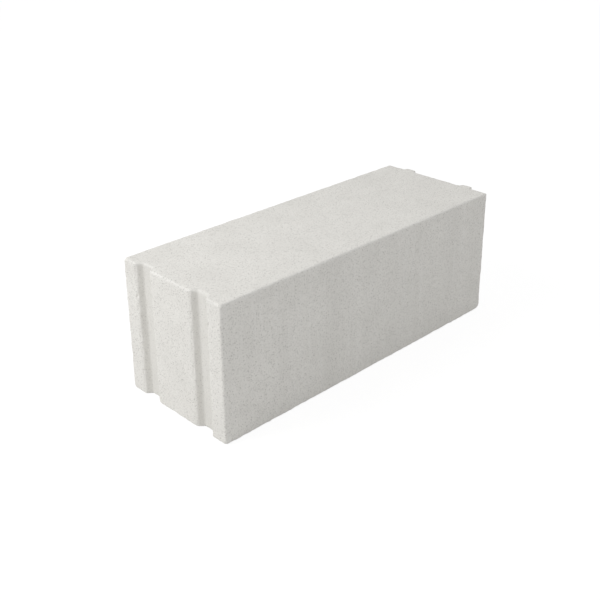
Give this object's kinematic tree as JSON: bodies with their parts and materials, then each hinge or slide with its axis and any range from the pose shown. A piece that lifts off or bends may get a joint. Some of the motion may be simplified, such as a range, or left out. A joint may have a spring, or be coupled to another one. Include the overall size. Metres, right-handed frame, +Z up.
{
  "type": "tongue-and-groove aerated concrete block",
  "caption": "Solid rectangular building block of light aerated concrete, with upright grooves in one end and matching upright tongues on the other.",
  "frame": {"origin": "middle of the flat bottom face, halfway between the two flat end faces (the tongues stand out past the +X end face and are not counted)", "axes": "+X along the block from the grooved end to the tongued end, +Y across the wall, +Z up through the top face"},
  "size_m": [0.659, 0.24, 0.24],
  "materials": {
    "block": "matt, fine open pores, wire-cut"
  },
  "bodies": {
    "root": {"block": "block"}
  },
  "joints": []
}
